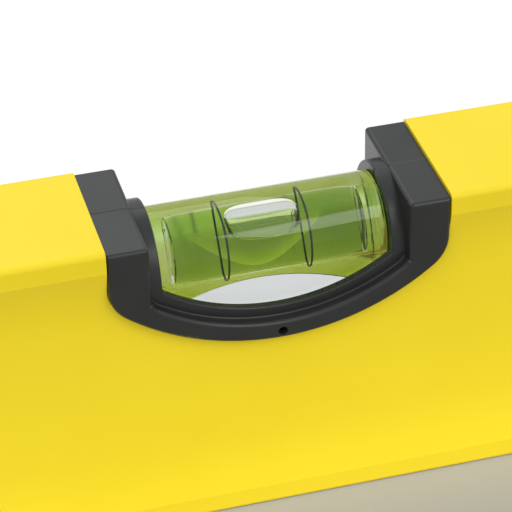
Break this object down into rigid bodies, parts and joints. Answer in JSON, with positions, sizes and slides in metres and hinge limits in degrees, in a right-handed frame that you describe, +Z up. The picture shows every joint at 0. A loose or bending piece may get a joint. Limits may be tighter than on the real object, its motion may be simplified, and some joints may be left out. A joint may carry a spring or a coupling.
{
  "type": "spirit level",
  "caption": "Box-section spirit level: yellow beam with a clear block vial in a black housing set in its top edge, upright plumb vials near the ends and moulded end caps.",
  "frame": {"origin": "centre of the measuring face that the level stands on", "axes": "+X along the level, -Y the front face, +Z up to the edge that holds the centre vial"},
  "size_m": [0.4, 0.022, 0.05],
  "materials": {
    "yellow_coat": "satin powder coat",
    "cap_plastic": "fine moulded grain",
    "housing_plastic": "semi-gloss moulded",
    "clear_acrylic": "polished clear",
    "vial_fluid": "clear liquid",
    "bubble_gas": "clear",
    "ring_black": "printed black",
    "tray_plastic": "bright yellow-green, smooth"
  },
  "bodies": {
    "level": {"profile_body": "yellow_coat", "end_cap_left": "cap_plastic", "end_cap_right": "cap_plastic", "centre_housing_front": "housing_plastic", "centre_housing_rear": "housing_plastic", "centre_vial_block": "clear_acrylic", "centre_vial_capsule": "clear_acrylic", "centre_vial_plug": "clear_acrylic", "centre_vial_fluid": "vial_fluid", "centre_vial_rings": "ring_black", "centre_vial_tray": "tray_plastic", "left_plumb_shell_front": "housing_plastic", "left_plumb_shell_rear": "housing_plastic", "left_plumb_vial": "clear_acrylic", "left_plumb_plug": "clear_acrylic", "left_plumb_fluid": "vial_fluid", "left_plumb_rings": "ring_black", "right_plumb_shell_front": "housing_plastic", "right_plumb_shell_rear": "housing_plastic", "right_plumb_vial": "clear_acrylic", "right_plumb_plug": "clear_acrylic", "right_plumb_fluid": "vial_fluid", "right_plumb_rings": "ring_black"},
    "centre_bubble": {"centre_vial_bubble": "bubble_gas"},
    "left_plumb_bubble": {"left_plumb_bubble": "bubble_gas"},
    "right_plumb_bubble": {"right_plumb_bubble": "bubble_gas"}
  },
  "joints": [
    {"name": "centre_bubble_slide", "type": "slide", "parent": "level", "child": "centre_bubble", "axis": [1, 0, 0], "range_m": [-0.0077, 0.0086], "stiffness_N_per_m": 0.5},
    {"name": "left_plumb_bubble_slide", "type": "slide", "parent": "level", "child": "left_plumb_bubble", "axis": [0, 0, 1], "range_m": [-0.0137, 0], "stiffness_N_per_m": 1, "springref_m": 0.01},
    {"name": "right_plumb_bubble_slide", "type": "slide", "parent": "level", "child": "right_plumb_bubble", "axis": [0, 0, 1], "range_m": [-0.0137, 0], "stiffness_N_per_m": 1, "springref_m": 0.01}
  ]
}
